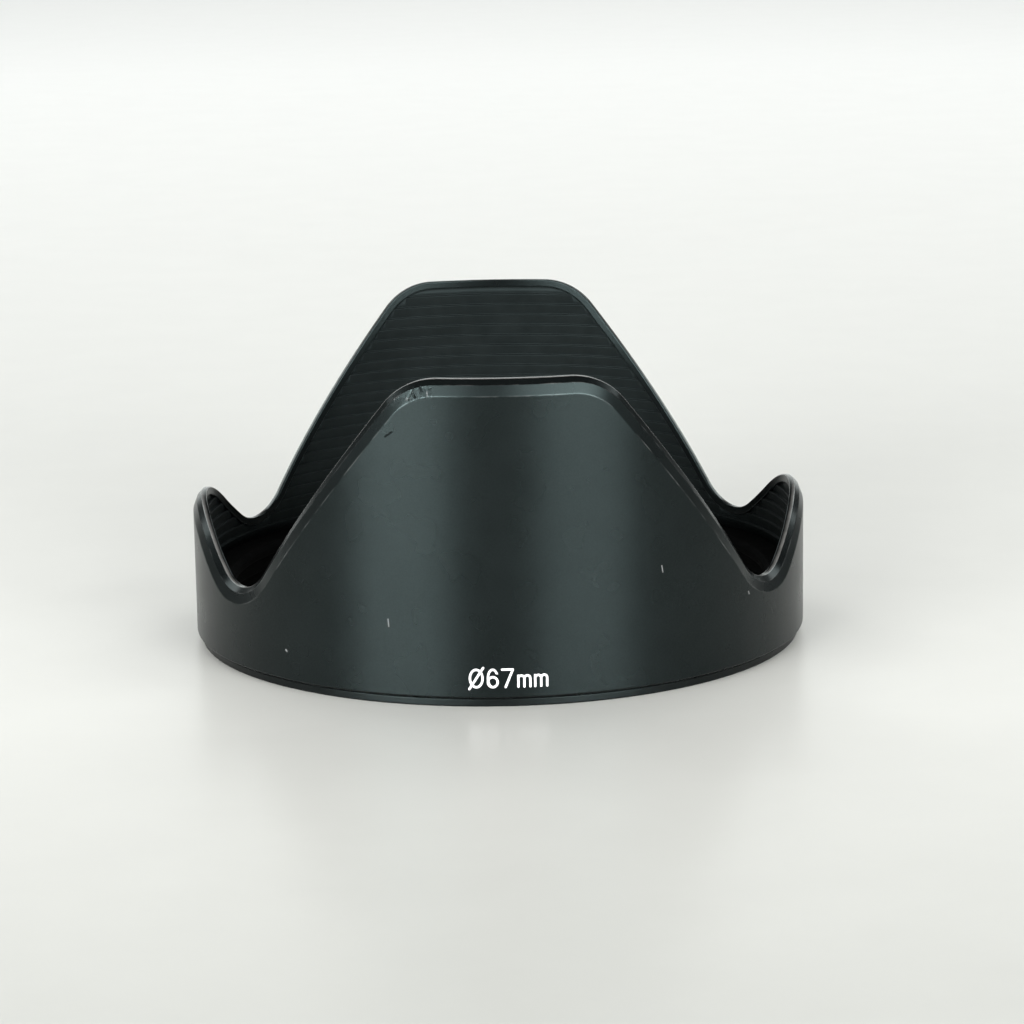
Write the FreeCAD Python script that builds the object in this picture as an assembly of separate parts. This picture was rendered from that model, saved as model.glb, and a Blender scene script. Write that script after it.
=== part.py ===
"""Petal lens hood for a 67 mm filter zoom lens.

Frame: the hood stands on its bayonet end. The origin is the middle of that end, +Z is the optical axis
and points at the subject, the two long petals stand at -Y and +Y and the two short ones at -X and +X.
All lengths are in millimetres and all angles in degrees, measured from the middle of the -Y petal.
"""
import FreeCAD
import Part
import math
import os

# Driving dimensions: outside
WALL_RADIUS = 40.0
HOOD_HEIGHT = 40.5

# Petal edge, drawn on the unrolled outer wall for one quarter: three corners, each rounded by an arc
LONG_CORNER_ANGLE = 18.0
LONG_CORNER_ROUND = 9.2
NOTCH_ANGLE = 56.6
NOTCH_CORNER_HEIGHT = 8.8
NOTCH_ROUND = 7.7
SHORT_PEAK_HEIGHT = 23.4
SHORT_PEAK_ROUND = 22.8

# Rim section, from the inside out: level crest, chamfer, steep bevel
RIM_THICKNESS = 1.8
CREST_WIDTH = 0.65
CHAMFER_WIDTH = 0.65
CHAMFER_DROP = 0.7
BEVEL_DROP = 1.3

# Light trap: a ribbed liner let into the shell below a smooth border
BORDER_WIDTH = 1.05
POCKET_RADIUS = 39.0
RIB_PITCH = 1.45
RIB_TIP_RADIUS = 38.25
RIB_ROOT_RADIUS = 38.7

# Bayonet ring
LIP_RADIUS = 39.3
LIP_HEIGHT = 0.95
SHELL_FOOT_CHAMFER = 0.45
RING_HEIGHT = 8.0
MOUTH_CHAMFER = 0.4
TRACK_RADIUS = 37.5
TRACK_TOP = 4.2
PILOT_RADIUS = 36.2
PILOT_TOP = 6.6
APERTURE_RADIUS = 34.9
APERTURE_CHAMFER = 0.6
LUG_COUNT = 3
LUG_FIRST_ANGLE = 60.0
LUG_SPAN = 30.0
LUG_RADIUS = 36.75
LUG_ROOT = 0.5
LUG_BOTTOM = 0.7
LUG_TOP = 2.1
STOP_SPAN = 2.4
CLICK_SPAN = 1.0
CLICK_OFFSET = 5.0
CLICK_DEPTH = 0.3

# Printed marks
INK_THICKNESS = 0.04
FIGURE_HEIGHT = 2.45
FIGURE_BASELINE = 2.55
STROKE = 0.27
MARK_HEIGHT = 3.55
MARK_RADIUS = 0.75
ALIGN_DOT_ANGLE = 128.0
LOCK_MARK_ANGLE = 180.0

# Room beyond the part for the tools that cut it
CUT_RADIUS_IN = 30.0
CUT_RADIUS_OUT = 41.0
CUT_TOP = 60.0
ARC_STEPS = 10
LINE_STEPS = 8

INNER_RADIUS = WALL_RADIUS - RIM_THICKNESS
AXIS = FreeCAD.Vector(0, 0, 1)
ORIGIN = FreeCAD.Vector(0, 0, 0)


def point_at(radius, angle, height):
    """A point on a circle about the axis; angle 0 is -Y and 90 is +X."""
    turn = math.radians(angle)
    return FreeCAD.Vector(radius * math.sin(turn), -radius * math.cos(turn), height)


def rounded_corner(before, corner, after, radius):
    """Points and outward normals along the arc that rounds a corner of the unrolled edge."""
    way_in = (corner - before).normalize()
    way_out = (after - corner).normalize()
    turn = math.atan2(way_in.x * way_out.y - way_in.y * way_out.x, way_in.dot(way_out))
    start = corner - way_in * (radius * math.tan(abs(turn) / 2))
    side = math.copysign(1.0, turn)
    normal = FreeCAD.Vector(-way_in.y, way_in.x, 0)
    centre = start + normal * (side * radius)
    samples = []
    for step in range(ARC_STEPS + 1):
        bend = turn * step / ARC_STEPS
        outward = FreeCAD.Vector(
            normal.x * math.cos(bend) - normal.y * math.sin(bend),
            normal.x * math.sin(bend) + normal.y * math.cos(bend),
            0,
        )
        samples.append((centre - outward * (side * radius), outward))
    return samples


def quarter_edge():
    """The unrolled petal edge from the middle of a long petal to the middle of a short one.

    It is a list of straight and rounded stretches, each a list of (place, outward normal).
    """
    per_degree = math.radians(1.0) * WALL_RADIUS
    middle = FreeCAD.Vector(0, HOOD_HEIGHT, 0)
    long_corner = FreeCAD.Vector(LONG_CORNER_ANGLE * per_degree, HOOD_HEIGHT, 0)
    notch = FreeCAD.Vector(NOTCH_ANGLE * per_degree, NOTCH_CORNER_HEIGHT, 0)
    short_peak = FreeCAD.Vector(90 * per_degree, SHORT_PEAK_HEIGHT, 0)
    next_notch = FreeCAD.Vector((180 - NOTCH_ANGLE) * per_degree, NOTCH_CORNER_HEIGHT, 0)

    arcs = [
        rounded_corner(middle, long_corner, notch, LONG_CORNER_ROUND),
        rounded_corner(long_corner, notch, short_peak, NOTCH_ROUND),
        rounded_corner(notch, short_peak, next_notch, SHORT_PEAK_ROUND)[: ARC_STEPS // 2 + 1],
    ]
    stretches = []
    last = middle
    for arc in arcs:
        first, normal = arc[0]
        step = (first - last) / LINE_STEPS
        stretches.append([(last + step * number, normal) for number in range(LINE_STEPS + 1)])
        stretches.append(arc)
        last = arc[-1][0]
    return stretches


def edge_loop(radius, depth):
    """A closed loop at a radius, following the petal edge at a depth below it."""
    quarter = []
    for stretch in quarter_edge():
        sunk = [(place - normal * depth, -normal.x / normal.y) for place, normal in stretch]
        quarter.append([(math.degrees(at.x / WALL_RADIUS), at.y, slope) for at, slope in sunk])
    return four_quarters(radius, quarter)


def level_loop(radius, height):
    """A closed circle with the same stretches as edge_loop."""
    quarter = []
    for stretch in quarter_edge():
        quarter.append([(math.degrees(place.x / WALL_RADIUS), height, 0) for place, normal in stretch])
    return four_quarters(radius, quarter)


def four_quarters(radius, quarter):
    """Splines through the (angle, height, slope) points of a quarter and of its mirror images."""
    splines = []
    for start, turn in ((0, 1), (180, -1), (180, 1), (360, -1)):
        for stretch in quarter:
            points = [point_at(radius, start + turn * angle, height) for angle, height, slope in stretch]
            ends = []
            for angle, height, slope in (stretch[0], stretch[-1]):
                ends.append(point_at(turn * radius, start + turn * angle + 90, slope * WALL_RADIUS))
            curve = Part.BSplineCurve()
            curve.interpolate(Points=points, InitialTangent=ends[0], FinalTangent=ends[1])
            splines.append(curve.toShape())
    return splines


def cutter_above(section):
    """The solid that lies above a petal edge, whose section is a list of (radius, depth)."""
    loops = [edge_loop(radius, depth) for radius, depth in section]
    loops.append(level_loop(section[-1][0], CUT_TOP))
    loops.append(level_loop(section[0][0], CUT_TOP))
    faces = []
    for index, loop in enumerate(loops):
        for lower, upper in zip(loop, loops[(index + 1) % len(loops)]):
            faces.append(Part.makeRuledSurface(lower, upper))
    shell = Part.makeShell(faces)
    shell.sewShape()
    return outward(Part.makeSolid(shell))


def outward(solid):
    """The solid with its faces turned to look out of it."""
    if solid.Volume < 0:
        solid.reverse()
    return solid


def revolved(profile):
    """A ring turned from a closed list of (radius, height) points."""
    corners = [FreeCAD.Vector(radius, 0, height) for radius, height in profile]
    face = Part.Face(Part.makePolygon(corners + corners[:1]))
    return outward(face.revolve(ORIGIN, AXIS, 360))


def ring_sector(inner, outer, bottom, top, middle_angle, span):
    """A block of a ring, centred on an angle."""
    corners = [(inner, bottom), (outer, bottom), (outer, top), (inner, top)]
    points = [point_at(radius, middle_angle - span / 2, height) for radius, height in corners]
    face = Part.Face(Part.makePolygon(points + points[:1]))
    return outward(face.revolve(ORIGIN, AXIS, span))


def light_trap_blank():
    """The room that the liner takes up inside the shell, before its ribs are cut."""
    blank = revolved([
        (INNER_RADIUS - 1, RING_HEIGHT),
        (POCKET_RADIUS, RING_HEIGHT),
        (POCKET_RADIUS, HOOD_HEIGHT),
        (INNER_RADIUS - 1, HOOD_HEIGHT),
    ])
    return blank.cut(cutter_above([(CUT_RADIUS_IN, BORDER_WIDTH), (CUT_RADIUS_OUT, BORDER_WIDTH)]))


def petal_shell():
    """The outer shell, with its scalloped and bevelled rim and the pocket for the liner."""
    foot = LIP_HEIGHT + SHELL_FOOT_CHAMFER
    tube = revolved([
        (POCKET_RADIUS, LIP_HEIGHT),
        (LIP_RADIUS, LIP_HEIGHT),
        (WALL_RADIUS, foot),
        (WALL_RADIUS, HOOD_HEIGHT),
        (INNER_RADIUS, HOOD_HEIGHT),
        (INNER_RADIUS, RING_HEIGHT),
        (POCKET_RADIUS, RING_HEIGHT),
    ])
    crest_edge = INNER_RADIUS + CREST_WIDTH
    bevel_edge = crest_edge + CHAMFER_WIDTH
    bevel_slope = BEVEL_DROP / (WALL_RADIUS - bevel_edge)
    outside = CHAMFER_DROP + bevel_slope * (CUT_RADIUS_OUT - bevel_edge)
    rim = [
        (CUT_RADIUS_IN, 0),
        (crest_edge, 0),
        (bevel_edge, CHAMFER_DROP),
        (CUT_RADIUS_OUT, outside),
    ]
    return tube.cut(cutter_above(rim)).cut(light_trap_blank())


def light_trap_liner():
    """The liner, whose inner face is a stack of ribs with level upper ledges."""
    profile = [(POCKET_RADIUS, HOOD_HEIGHT), (POCKET_RADIUS, RING_HEIGHT), (RIB_ROOT_RADIUS, RING_HEIGHT)]
    ledge = RING_HEIGHT + RIB_PITCH
    while ledge < HOOD_HEIGHT:
        profile.append((RIB_TIP_RADIUS, ledge))
        profile.append((RIB_ROOT_RADIUS, ledge))
        ledge += RIB_PITCH
    profile.append((RIB_ROOT_RADIUS, HOOD_HEIGHT))
    return revolved(profile).common(light_trap_blank())


def bayonet_ring():
    """The ring that takes the lens: lip, lug track, pilot bore, stop shelf and lugs."""
    ring = revolved([
        (TRACK_RADIUS + MOUTH_CHAMFER, 0),
        (LIP_RADIUS, 0),
        (LIP_RADIUS, LIP_HEIGHT),
        (POCKET_RADIUS, LIP_HEIGHT),
        (POCKET_RADIUS, RING_HEIGHT),
        (APERTURE_RADIUS + APERTURE_CHAMFER, RING_HEIGHT),
        (APERTURE_RADIUS, RING_HEIGHT - APERTURE_CHAMFER),
        (APERTURE_RADIUS, PILOT_TOP),
        (PILOT_RADIUS, PILOT_TOP),
        (PILOT_RADIUS, TRACK_TOP),
        (TRACK_RADIUS, TRACK_TOP),
        (TRACK_RADIUS, MOUTH_CHAMFER),
    ])
    seat = TRACK_RADIUS + LUG_ROOT
    for number in range(LUG_COUNT):
        middle = LUG_FIRST_ANGLE + number * 360 / LUG_COUNT
        lug = ring_sector(LUG_RADIUS, seat, LUG_BOTTOM, LUG_TOP, middle, LUG_SPAN)
        stop_angle = middle + (LUG_SPAN - STOP_SPAN) / 2
        stop = ring_sector(LUG_RADIUS, seat, LUG_TOP, TRACK_TOP, stop_angle, STOP_SPAN)
        click_angle = stop_angle - CLICK_OFFSET
        click = ring_sector(TRACK_RADIUS - CLICK_DEPTH, seat, LUG_TOP, TRACK_TOP, click_angle, CLICK_SPAN)
        ring = ring.fuse([lug, stop, click])
    return ring.removeSplitter()


def ink(drawing, angle):
    """Turn a flat drawing, seen from -Y, into a film of ink on the wall at an angle."""
    block = drawing.extrude(FreeCAD.Vector(0, WALL_RADIUS, 0))
    block.translate(FreeCAD.Vector(0, -WALL_RADIUS - 1, 0))
    film = Part.makeCylinder(WALL_RADIUS + INK_THICKNESS, HOOD_HEIGHT)
    film = film.cut(Part.makeCylinder(WALL_RADIUS, HOOD_HEIGHT))
    patches = block.common(film).Solids
    if len(patches) > 1:
        film = patches[0].fuse(patches[1:]).removeSplitter()
    else:
        film = patches[0]
    film.rotate(ORIGIN, AXIS, angle)
    return film


def oval(x, z, half_width, half_height):
    """A filled oval in the drawing plane."""
    ring = Part.Circle(ORIGIN, FreeCAD.Vector(0, -1, 0), 1.0).toShape()
    stretch = FreeCAD.Matrix()
    stretch.scale(FreeCAD.Vector(half_width, 1, half_height))
    face = Part.Face(Part.Wire(ring.transformGeometry(stretch)))
    face.translate(FreeCAD.Vector(x, 0, z))
    return face


def oval_ring(x, z, half_width, half_height):
    """An oval drawn with one stroke; the sizes are to the outside of the stroke."""
    return oval(x, z, half_width, half_height).cut(oval(x, z, half_width - STROKE, half_height - STROKE))


def bar(start, end):
    """A straight stroke between two (x, z) points."""
    along = FreeCAD.Vector(end[0] - start[0], 0, end[1] - start[1]).normalize()
    aside = FreeCAD.Vector(-along.z, 0, along.x) * (STROKE / 2)
    first = FreeCAD.Vector(start[0], 0, start[1])
    last = FreeCAD.Vector(end[0], 0, end[1])
    corners = [first - aside, last - aside, last + aside, first + aside]
    body = Part.Face(Part.makePolygon(corners + corners[:1]))
    ends = [oval(x, z, STROKE / 2, STROKE / 2) for x, z in (start, end)]
    return body.fuse(ends)


def patch(left, bottom, right, top):
    """A filled rectangle in the drawing plane."""
    corners = [(left, bottom), (right, bottom), (right, top), (left, top)]
    points = [FreeCAD.Vector(x, 0, z) for x, z in corners]
    return Part.Face(Part.makePolygon(points + points[:1]))


def size_figures():
    """The printed size, a diameter sign, two digits and the unit: one drawing for each character."""
    base = FIGURE_BASELINE
    top = base + FIGURE_HEIGHT
    middle = base + FIGURE_HEIGHT / 2
    half = FIGURE_HEIGHT / 2
    inset = STROKE / 2

    sign_x = -4.0
    sign = oval_ring(sign_x, middle, 0.9, half)
    sign = sign.fuse(bar((sign_x - 0.85, base - 0.1), (sign_x + 0.85, top + 0.1)))

    six_x = -2.0
    bowl = 0.76
    six_tail = oval_ring(six_x, middle, 0.72, half)
    six_tail = six_tail.cut(patch(six_x, base, six_x + 1, top - 0.7))
    six = six_tail.fuse(oval_ring(six_x, base + bowl, 0.72, bowl))

    seven_x = -0.2
    seven = bar((seven_x - 0.65, top - inset), (seven_x + 0.65, top - inset))
    seven = seven.fuse(bar((seven_x + 0.65, top - inset), (seven_x - 0.25, base + inset)))

    drawings = {"figure_sign": sign, "figure_six": six, "figure_seven": seven}
    for number, left in enumerate((1.1, 3.15)):
        drawings["figure_unit_%d" % (number + 1)] = unit_letter(left, base)
    return drawings


def unit_letter(left, base):
    """A low letter of two arches on three legs."""
    arch = 0.5
    height = 1.65
    foot = base + STROKE / 2
    letter = bar((left, foot), (left, base + height - STROKE / 2))
    for number in range(2):
        x = left - STROKE / 2 + arch + number * (2 * arch - STROKE)
        spring = base + height - arch
        hoop = oval_ring(x, spring, arch, arch).cut(patch(x - arch, spring - arch, x + arch, spring))
        leg_x = x + arch - STROKE / 2
        letter = letter.fuse(hoop).fuse(bar((leg_x, foot), (leg_x, spring)))
    return letter


nodes = {
    "petal_shell": petal_shell(),
    "light_trap_liner": light_trap_liner(),
    "bayonet_ring": bayonet_ring(),
    "align_dot": ink(oval(0, MARK_HEIGHT, MARK_RADIUS, MARK_RADIUS), ALIGN_DOT_ANGLE),
    "lock_mark": ink(oval_ring(0, MARK_HEIGHT, MARK_RADIUS, MARK_RADIUS), LOCK_MARK_ANGLE),
}
for name, drawing in size_figures().items():
    nodes[name] = ink(drawing, 0)

os.makedirs("parts", exist_ok=True)
for name, shape in nodes.items():
    shape.exportStep("parts/%s.step" % name)
    print(name, shape.ShapeType, len(shape.Solids), shape.isValid(), round(shape.Volume, 3), len(shape.Faces))
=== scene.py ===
"""Looks for the petal lens hood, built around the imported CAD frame.

Lengths are in metres. The hood stands on its bayonet end with the optical axis along +Z, its printed long
petal at -Y and its short petals at -X and +X. Angles about the axis are in degrees from -Y towards +X.
"""
import math

import bmesh
import bpy
from mathutils import Matrix, Vector


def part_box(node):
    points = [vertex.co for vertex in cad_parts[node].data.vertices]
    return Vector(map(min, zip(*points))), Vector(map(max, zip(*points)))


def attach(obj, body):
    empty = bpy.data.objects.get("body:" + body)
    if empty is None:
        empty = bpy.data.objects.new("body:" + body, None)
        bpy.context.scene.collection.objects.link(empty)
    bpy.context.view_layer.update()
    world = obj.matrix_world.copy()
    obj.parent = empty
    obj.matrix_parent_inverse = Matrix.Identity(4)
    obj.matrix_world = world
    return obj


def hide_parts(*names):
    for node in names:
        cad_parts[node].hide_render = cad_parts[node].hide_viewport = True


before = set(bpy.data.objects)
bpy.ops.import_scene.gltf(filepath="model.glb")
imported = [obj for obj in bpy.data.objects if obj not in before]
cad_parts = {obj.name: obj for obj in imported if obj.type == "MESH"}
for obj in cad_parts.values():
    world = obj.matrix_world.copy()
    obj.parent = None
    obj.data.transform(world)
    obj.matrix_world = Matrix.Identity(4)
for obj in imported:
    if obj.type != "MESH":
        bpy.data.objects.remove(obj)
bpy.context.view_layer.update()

MM = 0.001

# Sizes that the frame holds are read from it; those that follow repeat the CAD model's.
WALL_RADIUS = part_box("petal_shell")[1].x
HOOD_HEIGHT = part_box("petal_shell")[1].z
POCKET_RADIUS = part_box("light_trap_liner")[1].x
RING_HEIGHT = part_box("bayonet_ring")[1].z
LIP_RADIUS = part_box("bayonet_ring")[1].x
LIP_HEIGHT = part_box("petal_shell")[0].z

# Petal edge, unrolled: three corners for one quarter, each rounded by an arc
LONG_CORNER_ANGLE = 18.0
LONG_CORNER_ROUND = 9.2 * MM
NOTCH_ANGLE = 56.6
NOTCH_CORNER_HEIGHT = 8.8 * MM
NOTCH_ROUND = 7.7 * MM
SHORT_PEAK_HEIGHT = 23.4 * MM
SHORT_PEAK_ROUND = 22.8 * MM

# Rim, from the inside out: level crest, chamfer, steep bevel; the border is its inner face
INNER_RADIUS = WALL_RADIUS - 1.8 * MM
CREST_WIDTH = 0.65 * MM
CHAMFER_WIDTH = 0.65 * MM
CHAMFER_DROP = 0.7 * MM
BEVEL_DROP = 1.3 * MM
BORDER_WIDTH = 1.05 * MM
FOOT_CHAMFER = 0.45 * MM

# Light trap
RIB_PITCH = 1.45 * MM
RIB_TIP_RADIUS = 38.25 * MM
RIB_ROOT_RADIUS = 38.7 * MM

# Bayonet ring
MOUTH_CHAMFER = 0.4 * MM
TRACK_RADIUS = 37.5 * MM
TRACK_TOP = 4.2 * MM
PILOT_RADIUS = 36.2 * MM
PILOT_TOP = 6.6 * MM
APERTURE_RADIUS = 34.9 * MM
APERTURE_CHAMFER = 0.6 * MM
LUG_COUNT = 3
LUG_FIRST_ANGLE = 60.0
LUG_SPAN = 30.0
LUG_RADIUS = 36.75 * MM
LUG_ROOT = 0.5 * MM
LUG_BOTTOM = 0.7 * MM
LUG_TOP = 2.1 * MM
STOP_SPAN = 2.4
CLICK_SPAN = 1.0
CLICK_OFFSET = 5.0
CLICK_DEPTH = 0.3 * MM

# How finely the meshes are made; the rim and the foot reach this far before the plain wall begins
EDGE_SPACING = 0.45 * MM
MERGE_DISTANCE = 0.0005 * MM
RIM_REACH = 3.2 * MM
FOOT_REACH = 3.0 * MM
WALL_ROWS = 8
LINER_COLUMNS = 960
RING_COLUMNS = 360

# How corners are rounded: turns under STRAIGHT_ENOUGH radians are left, an arc and its guard point take up
# at most these shares of the shorter side, and the guard stands off by a multiple of the arc's own reach
STRAIGHT_ENOUGH = 0.05
ARC_SHARE = 0.25
GUARD_SHARE = 0.45
GUARD_REACH = 1.8
GUARD_LEAST = 0.09 * MM
CREST_ROUND = 0.12 * MM
CHAMFER_ROUND = 0.20 * MM
BEVEL_ROUND = 0.60 * MM
FOOT_ROUND = 0.12 * MM
RIB_ROUND = 0.07 * MM
RING_ROUND = 0.15 * MM
LUG_ROUND = 0.15 * MM

# Which points of the rim's section carry wear: all within WEAR_REACH of a corner. The pale crest line, a
# painted highlight, takes those within the next reach of the crest's outer corner and no deeper than the next
# depth.
WEAR_REACH = 0.05 * MM
CREST_HIGHLIGHT_REACH = 0.10 * MM
CREST_HIGHLIGHT_DEPTH = 0.04 * MM

# The camera: angles in degrees, the lens and the sensor in millimetres
CAMERA_AZIMUTH = -1.37
CAMERA_ELEVATION = 12.59
CAMERA_ROLL = 0.98
CAMERA_PAN = 0.223
CAMERA_DISTANCE = 0.4564
CAMERA_AIM_HEIGHT = 15.5 * MM
CAMERA_LENS = 121.8
SENSOR_WIDTH = 36.0
CLIP_NEAR = 0.01
CLIP_FAR = 30.0


# Colours, in linear light
def tint(level, red=1.0, green=1.0, blue=1.0):
    """A colour: a level of grey with a cast."""
    return (level * red, level * green, level * blue, 1.0)


SHELL_DARK = tint(0.0034, 0.84, 1.04, 1.06)
SHELL_LIGHT = tint(0.0047, 0.84, 1.04, 1.06)
SHELL_HAZE = tint(0.012, 0.95, 1.0, 1.0)
DUST_COLOUR = tint(0.22)
RUBBED_COLOUR = tint(0.085, 0.96, 1.0, 0.98)
# The crest's pale colour is a painted highlight.
CREST_HIGHLIGHT_COLOUR = tint(0.14, 1.02, 1.0, 0.96)
CHIP_COLOUR = tint(0.30, 0.97, 1.0, 1.0)
GOUGE_COLOUR = tint(0.002)
LINER_DARK = tint(0.0055, 0.84, 1.03, 1.04)
LINER_LIGHT = tint(0.0080, 0.84, 1.03, 1.04)
RING_DARK = tint(0.0022)
RING_LIGHT = tint(0.0035)
INK_SOLID = tint(0.86)
INK_THIN = tint(0.74)

# Roughness and gloss. The wall's gloss varies with its grain by a share, its roughness in slow patches.
# Above a height the plain plastics turn matt over a short fade.
SHELL_ROUGHNESS = 0.28
CHAMFER_ROUGHNESS = 0.20
LINER_ROUGHNESS = 0.55
RING_ROUGHNESS = 0.34
MATT_ROUGHNESS = 0.60
INK_ROUGHNESS = 0.45
WALL_GLOSS = 0.20
RIM_GLOSS = 0.42
CREST_GLOSS = 1.00
MATT_GLOSS = 0.02
COOL_GLOSS = (0.74, 1.0, 1.0, 1.0)
GRAIN_GLOSS_CHANGE = 0.14
PATCH_ROUGHNESS_CHANGE = 0.012
STREAK_ROUGHNESS_CHANGE = 0.05
MATT_FADE = 0.8 * MM
RING_MATT_HEIGHT = 1.2 * MM

# How much of its colour each mark on the shell shows where it is fullest
HAZE_SHARE = 0.03
DUST_SHARE = 0.5
RUBBED_SHARE = 0.5
FLAKE_SHARE = 0.35
GOUGE_SHARE = 0.8
SCRATCH_SHARE = 0.6

# Sizes of the patterns on the shell, and how deep and how strong the bumps are
MOTTLE_SIZE = 7 * MM
CLOUD_SIZE = 1.1 * MM
PATCH_SIZE = 5 * MM
GRAIN_SIZE = 0.20 * MM
GRAIN_DEPTH = 0.008 * MM
GRAIN_STRENGTH = 0.18
PEBBLE_SIZE = 0.42 * MM
PEBBLE_DEPTH = 0.016 * MM
PEBBLE_STRENGTH = 0.08
DUST_SPACING = 2.4 * MM
RUB_SIZE = 2.2 * MM
# The next size breaks up the painted crest highlight.
CREST_HIGHLIGHT_BREAK_SIZE = 1.5 * MM
CRUMB_SIZE = 0.55 * MM
CRUMB_SQUASH = 0.4
CHIP_DEPTH = 0.08 * MM
CHIP_STRENGTH = 0.7

# The same for the plain plastics and the ink
TONE_SIZE = 3 * MM
STREAK_SIZE = 2 * MM
STREAK_SQUASH = 6.0
LINER_GRAIN_SIZE = 0.20 * MM
RING_GRAIN_SIZE = 0.25 * MM
PLAIN_GRAIN_DEPTH = 0.02 * MM
PLAIN_GRAIN_STRENGTH = 0.25
INK_THIN_SIZE = 0.25 * MM
INK_GRAIN_SIZE = 0.12 * MM
INK_GRAIN_DEPTH = 0.010 * MM
INK_GRAIN_STRENGTH = 0.15

# The floor fades along y from its front tone to the middle one, and from that to the far one, as painted
# light falloff.
FLOOR_HALF = 20.0
FLOOR_FRONT_FADE = (-0.145, -0.045)
FLOOR_FAR_FADE = (0.1, 0.8)
FLOOR_FRONT = tint(0.485, 1.01, 1.025, 0.965)
FLOOR_MIDDLE = tint(0.645, 1.01, 1.02, 0.965)
FLOOR_FAR = tint(0.94, 1.0, 1.01, 0.985)
FLOOR_MOTTLE = 1.025
FLOOR_MOTTLE_SIZE = 14 * MM
FLOOR_ROUGHNESS = 0.30

# The room's light is the product of two ramps: by height from the horizon to the zenith, and from the
# front, behind the camera, to the back.
ROOM_STRENGTH = 1.15
ROOM_TINT = (0.98, 1.0, 0.99)
ROOM_BY_HEIGHT = [(0.0, 1.0), (0.30, 0.8), (0.5, 0.25), (0.75, 0.012), (1.0, 0.005)]
ROOM_FRONT_TO_BACK = [(0.0, 0.01), (0.6, 0.015), (0.90, 0.15), (0.97, 1.0)]

# A softbox is its name, azimuth, elevation, distance, how far behind the hood it aims, width, height and
# power, then False if gloss is not to reflect it. Azimuths and elevations are in degrees, powers in watts.
SOFTBOXES = [
    ("softbox_left_low", -36.5, 12, 0.9, 0, 0.54, 0.30, 10.8),
    ("softbox_left_high", -44, 31, 0.9, 0, 0.90, 0.26, 1.9),
    ("softbox_right_low", 29.5, 12, 0.9, 0, 0.50, 0.30, 7.8),
    ("softbox_right_high", 34, 31, 0.9, 0, 0.80, 0.26, 2.7),
    ("softbox_side_left", -90, 16, 1.0, 0, 0.8, 0.32, 0.15),
    ("softbox_side_right", 90, 16, 1.0, 0, 0.8, 0.32, 0.15),
    ("softbox_rear_left", -130, 40, 1.0, 0, 0.7, 0.5, 2.2),
    ("softbox_rear_right", 130, 40, 1.0, 0, 0.7, 0.5, 2.2),
    ("softbox_top", 0, 88, 1.2, 0, 1.2, 1.2, 2.8, False),
    ("softbox_back", 180, 40, 1.7, 1.0, 2.4, 1.2, 14.5, False),
]


def direction(azimuth, elevation):
    """A unit vector; azimuth 0 points at -Y and 90 at +X."""
    turn, rise = math.radians(azimuth), math.radians(elevation)
    return Vector((math.sin(turn) * math.cos(rise), -math.cos(turn) * math.cos(rise), math.sin(rise)))


def wall_point(radius, angle, height):
    """A point on a circle about the optical axis."""
    flat = direction(angle, 0) * radius
    return (flat.x, flat.y, height)


# Wear on the shell. Each gouge and pale scratch is its start, end and reach; the chips lie about a stretch.
CHIPPED_STRETCH = (wall_point(39.8 * MM, -20.5, 37.8 * MM), wall_point(39.8 * MM, -13.0, 39.0 * MM))
CHIP_REACH = 1.2 * MM
GOUGES = [
    (wall_point(WALL_RADIUS, -21.0, 33.4 * MM), wall_point(WALL_RADIUS, -19.8, 34.0 * MM), 0.14 * MM),
    (wall_point(39.96 * MM, -16.8, 38.1 * MM), wall_point(39.52 * MM, -16.0, 39.35 * MM), 0.22 * MM),
    (wall_point(39.90 * MM, -15.5, 38.3 * MM), wall_point(39.60 * MM, -16.2, 39.1 * MM), 0.16 * MM),
    (wall_point(39.75 * MM, -14.3, 39.0 * MM), wall_point(39.52 * MM, -14.7, 39.55 * MM), 0.16 * MM),
]
PALE_SCRATCHES = [
    (wall_point(WALL_RADIUS, -21.3, 10.8 * MM), wall_point(WALL_RADIUS, -21.2, 9.9 * MM), 0.12 * MM),
    (wall_point(WALL_RADIUS, 28.3, 16.2 * MM), wall_point(WALL_RADIUS, 28.5, 15.4 * MM), 0.12 * MM),
    (wall_point(WALL_RADIUS, 40.1, 19.7 * MM), wall_point(WALL_RADIUS, 41.3, 18.6 * MM), 0.10 * MM),
    (wall_point(WALL_RADIUS, -43.1, 5.1 * MM), wall_point(WALL_RADIUS, -42.9, 5.0 * MM), 0.20 * MM),
    (wall_point(WALL_RADIUS, 49.6, 10.4 * MM), wall_point(WALL_RADIUS, 49.8, 10.1 * MM), 0.16 * MM),
]


# ---------------------------------------------------------------- camera


def make_camera():
    """A level look at the front petal, panned and rolled a little as a hand-levelled tripod is."""
    back = direction(CAMERA_AZIMUTH, CAMERA_ELEVATION)
    place = Vector((0, 0, CAMERA_AIM_HEIGHT)) + back * CAMERA_DISTANCE
    level_right = direction(CAMERA_AZIMUTH + 90, 0)
    level_up = back.cross(level_right)
    roll, pan = math.radians(CAMERA_ROLL), math.radians(CAMERA_PAN)
    right = level_right * math.cos(roll) - level_up * math.sin(roll)
    up = level_up * math.cos(roll) + level_right * math.sin(roll)
    panned_back = back * math.cos(pan) - right * math.sin(pan)
    panned_right = up.cross(panned_back)

    data = bpy.data.cameras.new("camera")
    data.lens = CAMERA_LENS
    data.sensor_width = SENSOR_WIDTH
    data.clip_start = CLIP_NEAR
    data.clip_end = CLIP_FAR
    camera = bpy.data.objects.new("camera", data)
    turned = Matrix((panned_right, up, panned_back)).transposed().to_4x4()
    camera.matrix_world = Matrix.Translation(place) @ turned
    bpy.context.scene.collection.objects.link(camera)
    bpy.context.scene.camera = camera


# ---------------------------------------------------------------- the petal edge


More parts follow.
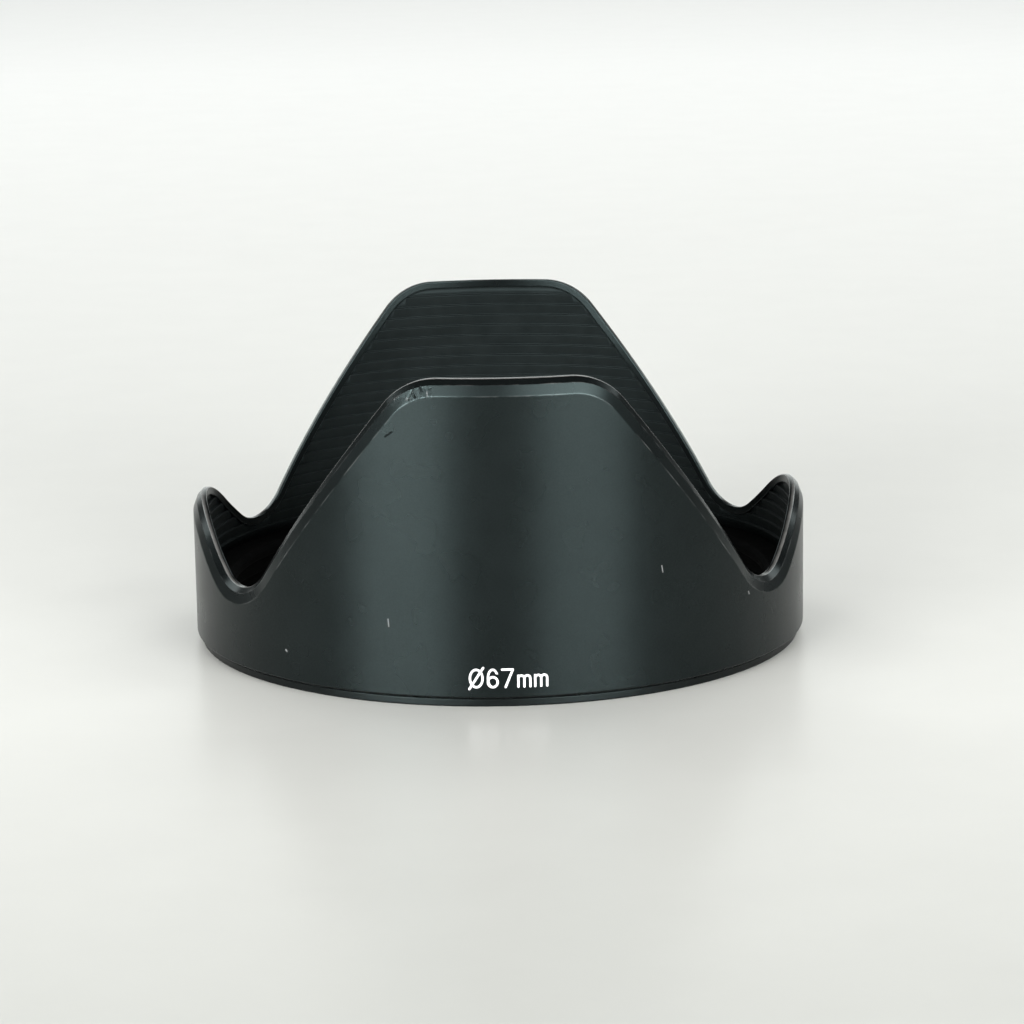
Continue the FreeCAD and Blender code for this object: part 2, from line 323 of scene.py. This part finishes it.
def rounded_corner(before, corner, after, radius, steps):
    """Points and outward normals along the arc that rounds a corner of a flat line."""
    way_in = (corner - before).normalized()
    way_out = (after - corner).normalized()
    turn = math.atan2(way_in.x * way_out.y - way_in.y * way_out.x, way_in.dot(way_out))
    start = corner - way_in * (radius * math.tan(abs(turn) / 2))
    side = math.copysign(1.0, turn)
    normal = Vector((-way_in.y, way_in.x))
    centre = start + normal * (side * radius)
    samples = []
    for step in range(steps + 1):
        bend = turn * step / steps
        outward = Vector((
            normal.x * math.cos(bend) - normal.y * math.sin(bend),
            normal.x * math.sin(bend) + normal.y * math.cos(bend),
        ))
        samples.append((centre - outward * (side * radius), outward))
    return samples


def quarter_edge(spacing):
    """The unrolled petal edge of one quarter as (place, outward normal), about one spacing apart."""
    per_degree = math.radians(1.0) * WALL_RADIUS
    middle = Vector((0, HOOD_HEIGHT))
    long_corner = Vector((LONG_CORNER_ANGLE * per_degree, HOOD_HEIGHT))
    notch = Vector((NOTCH_ANGLE * per_degree, NOTCH_CORNER_HEIGHT))
    short_peak = Vector((90 * per_degree, SHORT_PEAK_HEIGHT))
    next_notch = Vector(((180 - NOTCH_ANGLE) * per_degree, NOTCH_CORNER_HEIGHT))

    # The last arc stops at its middle, which is the peak of the short petal.
    arcs = []
    for before, corner, after, radius, share in (
        (middle, long_corner, notch, LONG_CORNER_ROUND, 1),
        (long_corner, notch, short_peak, NOTCH_ROUND, 1),
        (notch, short_peak, next_notch, SHORT_PEAK_ROUND, 2),
    ):
        turn = (corner - before).angle(after - corner)
        steps = 2 * max(4, round(radius * turn / spacing / 2))
        arcs.append(rounded_corner(before, corner, after, radius, steps)[: steps // share + 1])

    samples = [(middle, Vector((0, 1)))]
    for arc in arcs:
        last = samples[-1][0]
        first, normal = arc[0]
        steps = max(2, round((first - last).length / spacing))
        samples.extend((last.lerp(first, step / steps), normal) for step in range(1, steps))
        samples.extend(arc)
    return samples


def whole_edge(spacing):
    """The petal edge all round, as (angle, height, sunk angle per metre, sunk height per metre)."""
    quarter = []
    for place, normal in quarter_edge(spacing):
        angle = math.degrees(place.x / WALL_RADIUS)
        quarter.append((angle, place.y, -math.degrees(normal.x / WALL_RADIUS), -normal.y))

    def mirrored(samples, full_turn):
        return [(full_turn - angle, height, -turn, drop) for angle, height, turn, drop in reversed(samples)]

    half = quarter + mirrored(quarter[:-1], 180)
    return half + mirrored(half[1:-1], 360)


def edge_height(edge, depth):
    """A function of the angle: the height of the petal edge at a depth below the crest."""
    line = [(angle + turn * depth, height + drop * depth) for angle, height, turn, drop in edge]
    line.append((line[0][0] + 360, line[0][1]))

    def height_at(angle):
        wanted = angle % 360
        low, high = 0, len(line) - 1
        while high - low > 1:
            half = (low + high) // 2
            if line[half][0] <= wanted:
                low = half
            else:
                high = half
        share = (wanted - line[low][0]) / (line[high][0] - line[low][0])
        return line[low][1] + share * (line[high][1] - line[low][1])

    return height_at


# ---------------------------------------------------------------- mesh helpers


def soften(path, radius, steps=3, closed=False):
    """Rounds the corners of a list of points with small arcs; the ends of an open path stay.

    The radius is one for all corners, or a list with one for each. A guard point each side of an arc
    keeps the flat stretches flat when they are shaded smoothly.
    """
    points = [Vector(point) for point in path]
    radii = radius if isinstance(radius, list) else [radius] * len(points)
    count = len(points)
    result = []
    for index, corner in enumerate(points):
        if not closed and index in (0, count - 1):
            result.append(tuple(corner))
            continue
        before, after = points[index - 1], points[(index + 1) % count]
        way_in, way_out = (corner - before), (after - corner)
        turn = way_in.angle(way_out)
        if turn < STRAIGHT_ENOUGH:
            result.append(tuple(corner))
            continue
        shorter = min(way_in.length, way_out.length)
        reach = min(radii[index] * math.tan(turn / 2), ARC_SHARE * shorter)
        arc = rounded_corner(before, corner, after, reach / math.tan(turn / 2), steps)
        guard = min(max(GUARD_REACH * reach, GUARD_LEAST), GUARD_SHARE * shorter)
        result.append(tuple(corner - way_in.normalized() * guard))
        result.extend(tuple(place) for place, normal in arc)
        result.append(tuple(corner + way_out.normalized() * guard))
    return result


def mesh_object(name, points, faces, material, smooth=True):
    """A mesh object from plain lists, with one material."""
    mesh = bpy.data.meshes.new(name)
    mesh.from_pydata(points, [], faces)
    mesh.validate()
    mesh.materials.append(material)
    if smooth:
        mesh.shade_smooth()
    made = bpy.data.objects.new(name, mesh)
    bpy.context.scene.collection.objects.link(made)
    return made


def ring_faces(rows, columns):
    """Quads of a grid that closes on itself both ways."""
    faces = []
    for row in range(rows):
        above = (row + 1) % rows
        for column in range(columns):
            beside = (column + 1) % columns
            faces.append((
                row * columns + column,
                row * columns + beside,
                above * columns + beside,
                above * columns + column,
            ))
    return faces


def closed_grid(name, rows, columns, material, marks=()):
    """A mesh from a grid of points that closes both ways; each named mark holds one value for each row."""
    points = [point for row in rows for point in row]
    made = mesh_object(name, points, ring_faces(len(rows), columns), material)
    for mark, values in dict(marks).items():
        layer = made.data.attributes.new(mark, "FLOAT", "POINT")
        layer.data.foreach_set("value", [value for value in values for column in range(columns)])
    tidy_mesh(made)
    return made


def tidy_mesh(made):
    """Merges points that fall together and turns every face outwards."""
    work = bmesh.new()
    work.from_mesh(made.data)
    bmesh.ops.remove_doubles(work, verts=work.verts, dist=MERGE_DISTANCE)
    bmesh.ops.recalc_face_normals(work, faces=work.faces)
    work.to_mesh(made.data)
    work.free()


# ---------------------------------------------------------------- pieces


def make_shell(edge, material):
    """The outer shell: one surface from the pocket over the rim and down the wall to its foot."""
    crest_edge = INNER_RADIUS + CREST_WIDTH
    bevel_edge = crest_edge + CHAMFER_WIDTH
    bevel_end = CHAMFER_DROP + BEVEL_DROP
    corners = [
        (INNER_RADIUS, 0),
        (crest_edge, 0),
        (bevel_edge, CHAMFER_DROP),
        (WALL_RADIUS, bevel_end),
    ]
    rim = [(POCKET_RADIUS, RIM_REACH), (POCKET_RADIUS, BORDER_WIDTH), (INNER_RADIUS, BORDER_WIDTH)]
    # One radius for each point: those up to the crest's outer corner, the chamfer's, the bevel's, the end.
    rounds = [CREST_ROUND] * 5 + [CHAMFER_ROUND, BEVEL_ROUND, CREST_ROUND]
    rim = soften(rim + corners + [(WALL_RADIUS, RIM_REACH)], rounds)
    foot = soften([
        (WALL_RADIUS, FOOT_REACH),
        (WALL_RADIUS, LIP_HEIGHT + FOOT_CHAMFER),
        (LIP_RADIUS, LIP_HEIGHT),
        (POCKET_RADIUS, LIP_HEIGHT),
        (POCKET_RADIUS, FOOT_REACH),
    ], FOOT_ROUND)

    def between(radius, share):
        """A row of the plain wall, at a share of the way from the rim down to the foot."""
        row = []
        for angle, height, turn, drop in edge:
            place = angle + turn * RIM_REACH * (1 - share)
            level = (height + drop * RIM_REACH) * (1 - share) + FOOT_REACH * share
            row.append(wall_point(radius, place, level))
        return row

    rows = []
    for radius, depth in rim:
        rows.append([
            wall_point(radius, angle + turn * depth, height + drop * depth)
            for angle, height, turn, drop in edge
        ])
    rows.extend(between(WALL_RADIUS, step / WALL_ROWS) for step in range(1, WALL_ROWS))
    for radius, height in foot:
        rows.append([wall_point(radius, angle, height) for angle, *rest in edge])
    rows.extend(between(POCKET_RADIUS, 1 - step / WALL_ROWS) for step in range(1, WALL_ROWS))

    def near_corner(radius, depth):
        return min(math.dist((radius, depth), corner) for corner in corners) < WEAR_REACH

    # Points at the crest's outer corner, which take the painted highlight.
    def on_crest_corner(radius, depth):
        return math.dist((radius, depth), (crest_edge, 0)) < CREST_HIGHLIGHT_REACH and depth < CREST_HIGHLIGHT_DEPTH

    def on_rim(radius, depth):
        return radius >= INNER_RADIUS and depth < bevel_end

    def on_chamfer(radius, depth):
        return INNER_RADIUS <= radius <= bevel_edge and depth <= CHAMFER_DROP

    marks = {}
    for mark, test in (
        ("edge_wear", near_corner),
        ("painted_crest_highlight", on_crest_corner),
        ("glossy_rim", on_rim),
        ("smooth_chamfer", on_chamfer),
    ):
        marks[mark] = [1.0 if test(*at) else 0.0 for at in rim] + [0.0] * (len(rows) - len(rim))
    return closed_grid("shell_skin", rows, len(edge), material, marks)


def make_liner(edge, material):
    """The light trap: ribs with level upper ledges, cut off behind the border of the petal edge."""
    profile = [(RIB_ROOT_RADIUS, RING_HEIGHT)]
    ledge = RING_HEIGHT + RIB_PITCH
    while ledge < HOOD_HEIGHT:
        profile.append((RIB_TIP_RADIUS, ledge))
        profile.append((RIB_ROOT_RADIUS, ledge))
        ledge += RIB_PITCH
    profile = soften(profile + [(RIB_ROOT_RADIUS, HOOD_HEIGHT)], RIB_ROUND, steps=2)
    top_at = edge_height(edge, BORDER_WIDTH)

    def radius_at(height):
        for (radius, low), (next_radius, high) in zip(profile, profile[1:]):
            if low <= height < high:
                return radius + (next_radius - radius) * (height - low) / (high - low)
        return RIB_ROOT_RADIUS

    angles = [360 * column / LINER_COLUMNS for column in range(LINER_COLUMNS)]
    tops = [top_at(angle) for angle in angles]
    cut_radii = [radius_at(top) for top in tops]
    rows = []
    for radius, height in profile:
        row = []
        for angle, top, cut_radius in zip(angles, tops, cut_radii):
            if height < top:
                row.append(wall_point(radius, angle, height))
            else:
                row.append(wall_point(cut_radius, angle, top))
        rows.append(row)
    rows.append([wall_point(POCKET_RADIUS, angle, top) for angle, top in zip(angles, tops)])
    rows.append([wall_point(POCKET_RADIUS, angle, RING_HEIGHT) for angle in angles])
    return closed_grid("light_trap_ribs", rows, LINER_COLUMNS, material)


def sector_block(inner, outer, bottom, top, middle_angle, span):
    """Points and faces of a block of a ring with eased edges, centred on an angle."""
    section = soften([(inner, bottom), (outer, bottom), (outer, top), (inner, top)], LUG_ROUND, closed=True)
    centre_radius = (inner + outer) / 2
    centre_height = (bottom + top) / 2
    ease = math.degrees(LUG_ROUND / inner)
    half = span / 2
    steps = max(2, round(span))
    stations = [(-half, 1 - LUG_ROUND / (top - bottom) * 2)]
    stations += [(-half + ease + (span - 2 * ease) * step / steps, 1.0) for step in range(steps + 1)]
    stations.append((half, stations[0][1]))
    points = []
    for offset, scale in stations:
        for radius, height in section:
            points.append(wall_point(
                centre_radius + (radius - centre_radius) * scale,
                middle_angle + offset,
                centre_height + (height - centre_height) * scale,
            ))
    size = len(section)
    faces = [tuple(range(size)), tuple(range(len(points) - size, len(points)))]
    for station in range(len(stations) - 1):
        for corner in range(size):
            beside = (corner + 1) % size
            faces.append((
                station * size + corner,
                station * size + beside,
                (station + 1) * size + beside,
                (station + 1) * size + corner,
            ))
    return points, faces


def make_ring(material):
    """The bayonet ring: the turned body, then its lugs, stops and click ridges."""
    profile = soften([
        (TRACK_RADIUS + MOUTH_CHAMFER, 0),
        (LIP_RADIUS, 0),
        (LIP_RADIUS, LIP_HEIGHT),
        (POCKET_RADIUS, LIP_HEIGHT),
        (POCKET_RADIUS, RING_HEIGHT),
        (APERTURE_RADIUS + APERTURE_CHAMFER, RING_HEIGHT),
        (APERTURE_RADIUS, RING_HEIGHT - APERTURE_CHAMFER),
        (APERTURE_RADIUS, PILOT_TOP),
        (PILOT_RADIUS, PILOT_TOP),
        (PILOT_RADIUS, TRACK_TOP),
        (TRACK_RADIUS, TRACK_TOP),
        (TRACK_RADIUS, MOUTH_CHAMFER),
    ], RING_ROUND, closed=True)
    points = []
    angles = [360 * column / RING_COLUMNS for column in range(RING_COLUMNS)]
    for radius, height in profile:
        points.extend(wall_point(radius, angle, height) for angle in angles)
    faces = ring_faces(len(profile), RING_COLUMNS)

    blocks = []
    seat = TRACK_RADIUS + LUG_ROOT
    for number in range(LUG_COUNT):
        middle = LUG_FIRST_ANGLE + number * 360 / LUG_COUNT
        stop = middle + (LUG_SPAN - STOP_SPAN) / 2
        blocks.append((LUG_RADIUS, seat, LUG_BOTTOM, LUG_TOP, middle, LUG_SPAN))
        blocks.append((LUG_RADIUS, seat, LUG_TOP, TRACK_TOP, stop, STOP_SPAN))
        blocks.append((TRACK_RADIUS - CLICK_DEPTH, seat, LUG_TOP, TRACK_TOP, stop - CLICK_OFFSET, CLICK_SPAN))
    for block in blocks:
        more_points, more_faces = sector_block(*block)
        faces.extend(tuple(len(points) + index for index in face) for face in more_faces)
        points.extend(more_points)
    made = mesh_object("bayonet_ring_body", points, faces, material)
    tidy_mesh(made)
    return made


# ---------------------------------------------------------------- material helpers


class Nodes:
    """A short way to write a node tree: add() makes a node and links or sets its inputs."""

    def __init__(self, name):
        self.material = bpy.data.materials.new(name)
        self.material.use_nodes = True
        self.tree = self.material.node_tree
        self.shader = self.tree.nodes["Principled BSDF"]
        self.place = self.add("ShaderNodeTexCoord").outputs["Object"]

    def add(self, kind, inputs=(), **settings):
        made = self.tree.nodes.new(kind)
        for name, value in settings.items():
            setattr(made, name, value)
        self.fill(made, inputs)
        return made

    def fill(self, node, inputs):
        for name, value in dict(inputs).items():
            if isinstance(value, bpy.types.NodeSocket):
                self.tree.links.new(value, node.inputs[name])
            else:
                node.inputs[name].default_value = value

    def noise(self, size, detail=2.0, roughness=0.5, place=None):
        """Noise whose features are about one size across; the output runs from 0 to 1."""
        inputs = {"Vector": place or self.place, "Scale": 1 / size, "Detail": detail, "Roughness": roughness}
        return self.add("ShaderNodeTexNoise", inputs).outputs["Fac"]

    def stretch(self, value, low, high, to_low=0.0, to_high=1.0):
        """Maps a value's range low..high to another and clamps it."""
        inputs = {"Value": value, "From Min": low, "From Max": high, "To Min": to_low, "To Max": to_high}
        return self.add("ShaderNodeMapRange", inputs).outputs["Result"]

    def around(self, noise, middle, change):
        """Spreads noise over a middle value and as much as a change to either side of it."""
        return self.stretch(noise, 0.3, 0.7, middle - change, middle + change)

    def math(self, operation, first, second=0.0):
        return self.add("ShaderNodeMath", {0: first, 1: second}, operation=operation).outputs[0]

    def blend(self, share, first, second):
        """A colour between two others."""
        made = self.add("ShaderNodeMix", data_type="RGBA")
        self.fill(made, {0: share, 6: first, 7: second})
        return made.outputs[2]

    def bump(self, height, strength, distance, normal=None):
        inputs = {"Height": height, "Strength": strength, "Distance": distance}
        if normal:
            inputs["Normal"] = normal
        return self.add("ShaderNodeBump", inputs).outputs["Normal"]

    def vector(self, operation, first, second, output="Vector"):
        return self.add("ShaderNodeVectorMath", {0: first, 1: second}, operation=operation).outputs[output]

    def scaled(self, vector, factor):
        return self.add("ShaderNodeVectorMath", {0: vector, "Scale": factor}, operation="SCALE").outputs[0]

    def squashed(self, factor):
        """The place with its height multiplied: over one flattens a pattern, under one draws it upright."""
        inputs = {"Vector": self.place, "Scale": (1.0, 1.0, factor)}
        return self.add("ShaderNodeMapping", inputs).outputs["Vector"]

    def coordinate(self, axis):
        return self.add("ShaderNodeSeparateXYZ", {"Vector": self.place}).outputs[axis]

    def mark(self, name):
        """The value of one of the mesh's named attributes."""
        return self.add("ShaderNodeAttribute", attribute_name=name).outputs["Fac"]

    def near_segment(self, start, end, reach):
        """One on the line between two points, falling to nothing at a distance."""
        start, end = Vector(start), Vector(end)
        along = end - start
        unit = tuple(along.normalized())
        offset = self.vector("SUBTRACT", self.place, tuple(start))
        travel = self.vector("DOT_PRODUCT", offset, unit, "Value")
        travel = self.stretch(travel, 0.0, along.length, 0.0, along.length)
        gap = self.vector("DISTANCE", offset, self.scaled(unit, travel), "Value")
        return self.stretch(gap, 0.0, reach, 1.0, 0.0)


# ---------------------------------------------------------------- materials


def shell_plastic():
    """Satin moulded black with a cool cast: spark texture, faint mottling, dust, rubbed edges, a painted
    highlight along the crest, and chips.
    """
    nodes = Nodes("shell_plastic")
    mottle = nodes.noise(MOTTLE_SIZE, 3.0)
    cloud = nodes.noise(CLOUD_SIZE, 2.0)
    grain = nodes.noise(GRAIN_SIZE, 2.0, 0.65)
    pebble = nodes.noise(PEBBLE_SIZE, 1.0)

    colour = nodes.blend(nodes.stretch(mottle, 0.35, 0.65), SHELL_DARK, SHELL_LIGHT)
    colour = nodes.blend(nodes.stretch(cloud, 0.60, 0.75, 0.0, HAZE_SHARE), colour, SHELL_HAZE)

    # Dust: a few cells of a fine pattern hold a pale speck.
    cells = nodes.add("ShaderNodeTexVoronoi", {"Vector": nodes.place, "Scale": 1 / DUST_SPACING})
    rare = nodes.stretch(cells.outputs["Color"], 0.90, 0.91)
    speck = nodes.stretch(cells.outputs["Distance"], 0.025, 0.045, 1.0, 0.0)
    dust = nodes.math("MULTIPLY", nodes.math("MULTIPLY", rare, speck), DUST_SHARE)
    colour = nodes.blend(dust, colour, DUST_COLOUR)

    # Rubbed edges of the rim, broken up by the noise, and a pale painted highlight along the crest.
    broken = nodes.stretch(nodes.noise(RUB_SIZE, 3.0), 0.45, 0.72, 0.0, RUBBED_SHARE)
    rubbed = nodes.math("MULTIPLY", nodes.mark("edge_wear"), broken)
    colour = nodes.blend(rubbed, colour, RUBBED_COLOUR)
    broken = nodes.stretch(nodes.noise(CREST_HIGHLIGHT_BREAK_SIZE, 3.0), 0.3, 0.7, 0.6, 1.0)
    crest = nodes.math("MULTIPLY", nodes.mark("painted_crest_highlight"), broken)
    colour = nodes.blend(crest, colour, CREST_HIGHLIGHT_COLOUR)

    # Chips in the bevel at one corner: dark cracks between pale flakes.
    field = nodes.near_segment(*CHIPPED_STRETCH, CHIP_REACH)
    crumbs = nodes.noise(CRUMB_SIZE, 3.0, 0.7, nodes.squashed(CRUMB_SQUASH))
    flakes = nodes.math("MULTIPLY", field, nodes.stretch(crumbs, 0.58, 0.66))
    crease = nodes.math("ABSOLUTE", nodes.math("SUBTRACT", crumbs, 0.48))
    cracks = nodes.math("MULTIPLY", field, nodes.stretch(crease, 0.040, 0.010))
    flakes = nodes.stretch(flakes, 0.25, 0.60)
    cracks = nodes.stretch(cracks, 0.30, 0.60)
    colour = nodes.blend(nodes.math("MULTIPLY", flakes, FLAKE_SHARE), colour, CHIP_COLOUR)
    colour = nodes.blend(cracks, colour, GOUGE_COLOUR)

    depth = cracks
    for start, end, reach in GOUGES:
        gouge = nodes.near_segment(start, end, reach)
        colour = nodes.blend(nodes.math("MULTIPLY", gouge, GOUGE_SHARE), colour, GOUGE_COLOUR)
        depth = nodes.math("MAXIMUM", depth, gouge)
    for start, end, reach in PALE_SCRATCHES:
        scratch = nodes.math("MULTIPLY", nodes.near_segment(start, end, reach), SCRATCH_SHARE)
        colour = nodes.blend(scratch, colour, CHIP_COLOUR)

    # The rim is glossier than the wall, its crest and chamfer smoother too.
    smoother = nodes.math("MULTIPLY", nodes.mark("smooth_chamfer"), SHELL_ROUGHNESS - CHAMFER_ROUGHNESS)
    rough = nodes.around(nodes.noise(PATCH_SIZE, 2.0), SHELL_ROUGHNESS, PATCH_ROUGHNESS_CHANGE)
    rough = nodes.math("SUBTRACT", rough, smoother)
    gloss = nodes.around(grain, WALL_GLOSS, WALL_GLOSS * GRAIN_GLOSS_CHANGE)
    rim = nodes.mark("glossy_rim")
    gloss = nodes.math("ADD", gloss, nodes.math("MULTIPLY", rim, RIM_GLOSS - WALL_GLOSS))
    gloss = nodes.math("ADD", gloss, nodes.math("MULTIPLY", crest, CREST_GLOSS - RIM_GLOSS))
    normal = nodes.bump(grain, GRAIN_STRENGTH, GRAIN_DEPTH)
    normal = nodes.bump(pebble, PEBBLE_STRENGTH, PEBBLE_DEPTH, normal)
    relief = nodes.math("SUBTRACT", flakes, depth)
    normal = nodes.bump(relief, CHIP_STRENGTH, CHIP_DEPTH, normal)
    nodes.fill(nodes.shader, {
        "Base Color": colour,
        "Roughness": rough,
        "Specular IOR Level": gloss,
        "Normal": normal,
    })
    nodes.shader.inputs["Specular Tint"].default_value = COOL_GLOSS
    return nodes.material


def plain_plastic(name, dark, light, roughness, grain_size, matt_above):
    """Moulded plastic with a fine grain, slow changes of tone and level streaks, matt above a height."""
    nodes = Nodes(name)
    tone = nodes.stretch(nodes.noise(TONE_SIZE, 4.0), 0.35, 0.65)
    streaks = nodes.noise(STREAK_SIZE, 3.0, 0.6, nodes.squashed(STREAK_SQUASH))
    rough = nodes.around(streaks, roughness, STREAK_ROUGHNESS_CHANGE)
    height = nodes.coordinate("Z")
    fade = (matt_above, matt_above + MATT_FADE)
    rougher = nodes.stretch(height, *fade, 0.0, MATT_ROUGHNESS - roughness)
    nodes.fill(nodes.shader, {
        "Base Color": nodes.blend(tone, dark, light),
        "Roughness": nodes.math("ADD", rough, rougher),
        "Specular IOR Level": nodes.stretch(height, *fade, WALL_GLOSS, MATT_GLOSS),
        "Normal": nodes.bump(nodes.noise(grain_size, 3.0, 0.6), PLAIN_GRAIN_STRENGTH, PLAIN_GRAIN_DEPTH),
    })
    nodes.shader.inputs["Specular Tint"].default_value = COOL_GLOSS
    return nodes.material


def liner_plastic():
    """The light trap's black, which nowhere reaches the height where it would turn matt."""
    colours = (LINER_DARK, LINER_LIGHT)
    return plain_plastic("liner_plastic", *colours, LINER_ROUGHNESS, LINER_GRAIN_SIZE, HOOD_HEIGHT)


def ring_plastic():
    """The bayonet ring's black: satin on the lip that shows outside, matt above it, inside the hood."""
    colours = (RING_DARK, RING_LIGHT)
    return plain_plastic("ring_plastic", *colours, RING_ROUGHNESS, RING_GRAIN_SIZE, RING_MATT_HEIGHT)


def white_ink():
    """Pad-printed ink: nearly white, a little thin in places, with a soft gloss."""
    nodes = Nodes("white_ink")
    thin = nodes.stretch(nodes.noise(INK_THIN_SIZE, 3.0), 0.30, 0.75)
    normal = nodes.bump(nodes.noise(INK_GRAIN_SIZE, 2.0), INK_GRAIN_STRENGTH, INK_GRAIN_DEPTH)
    nodes.fill(nodes.shader, {"Base Color": nodes.blend(thin, INK_SOLID, INK_THIN), "Normal": normal})
    nodes.shader.inputs["Roughness"].default_value = INK_ROUGHNESS
    return nodes.material


# ---------------------------------------------------------------- stage and light


def make_floor():
    """A large pale sheet with a soft gloss, painted brighter towards the back as light falloff."""
    half = FLOOR_HALF
    corners = [(-half, -half, 0), (half, -half, 0), (half, half, 0), (-half, half, 0)]
    nodes = Nodes("floor_paper")
    depth = nodes.coordinate("Y")
    # Painted light falloff: darker in front of the hood, brighter behind it.
    near = nodes.blend(nodes.stretch(depth, *FLOOR_FRONT_FADE), FLOOR_FRONT, FLOOR_MIDDLE)
    sheet = nodes.blend(nodes.stretch(depth, *FLOOR_FAR_FADE), near, FLOOR_FAR)
    mottle = nodes.stretch(nodes.noise(FLOOR_MOTTLE_SIZE, 4.0, 0.6), 0.3, 0.7, 1.0, FLOOR_MOTTLE)
    nodes.fill(nodes.shader, {"Base Color": nodes.scaled(sheet, mottle)})
    nodes.shader.inputs["Roughness"].default_value = FLOOR_ROUGHNESS
    floor = mesh_object("floor", corners, [(0, 1, 2, 3)], nodes.material, smooth=False)


def make_softbox(name, azimuth, elevation, distance, aim, width, height, power, mirrored=True):
    """An area light that looks at the hood, or at the floor behind it."""
    data = bpy.data.lights.new(name, "AREA")
    data.shape = "RECTANGLE"
    data.size = width
    data.size_y = height
    data.energy = power
    light = bpy.data.objects.new(name, data)
    light.location = direction(azimuth, elevation) * distance
    light.rotation_mode = "QUATERNION"
    light.rotation_quaternion = (light.location - Vector((0, aim, 0))).to_track_quat("Z", "Y")
    light.visible_glossy = mirrored
    light.visible_camera = False
    bpy.context.scene.collection.objects.link(light)


def make_world():
    """The room: bright near the horizon, dark overhead, and dimmer behind the camera than behind the hood."""
    world = bpy.data.worlds.new("studio")
    world.use_nodes = True
    tree = world.node_tree
    way = tree.nodes.new("ShaderNodeTexCoord").outputs["Generated"]
    parts = tree.nodes.new("ShaderNodeSeparateXYZ")
    tree.links.new(way, parts.inputs[0])

    def ramp(value, stops):
        made = tree.nodes.new("ShaderNodeValToRGB")
        tree.links.new(value, made.inputs["Fac"])
        steps = made.color_ramp.elements
        while len(steps) < len(stops):
            steps.new(0.5)
        for step, (position, level) in zip(steps, stops):
            step.position = position
            step.color = (level * ROOM_TINT[0], level * ROOM_TINT[1], level * ROOM_TINT[2], 1)
        return made.outputs["Color"]

    forward = tree.nodes.new("ShaderNodeMapRange")
    tree.links.new(parts.outputs["Y"], forward.inputs["Value"])
    forward.inputs["From Min"].default_value = -1.0
    product = tree.nodes.new("ShaderNodeMix")
    product.data_type = "RGBA"
    product.blend_type = "MULTIPLY"
    product.inputs[0].default_value = 1.0
    tree.links.new(ramp(parts.outputs["Z"], ROOM_BY_HEIGHT), product.inputs[6])
    tree.links.new(ramp(forward.outputs["Result"], ROOM_FRONT_TO_BACK), product.inputs[7])
    background = tree.nodes["Background"]
    tree.links.new(product.outputs[2], background.inputs["Color"])
    background.inputs["Strength"].default_value = ROOM_STRENGTH
    bpy.context.scene.world = world


# ---------------------------------------------------------------- the whole

make_camera()
edge_line = whole_edge(EDGE_SPACING)
ink = white_ink()
pieces = [
    (make_shell(edge_line, shell_plastic()), "petal_shell", "shell_plastic"),
    (make_liner(edge_line, liner_plastic()), "light_trap_liner", "liner_plastic"),
    (make_ring(ring_plastic()), "bayonet_ring", "ring_plastic"),
]
for piece, node, slot in pieces:
    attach(piece, "root")
    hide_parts(node)
for name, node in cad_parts.items():
    if name.startswith("figure_") or name in ("align_dot", "lock_mark"):
        node.data.materials.clear()
        node.data.materials.append(ink)

make_floor()
make_world()
for softbox in SOFTBOXES:
    make_softbox(*softbox)
bpy.context.scene.view_settings.view_transform = "Standard"
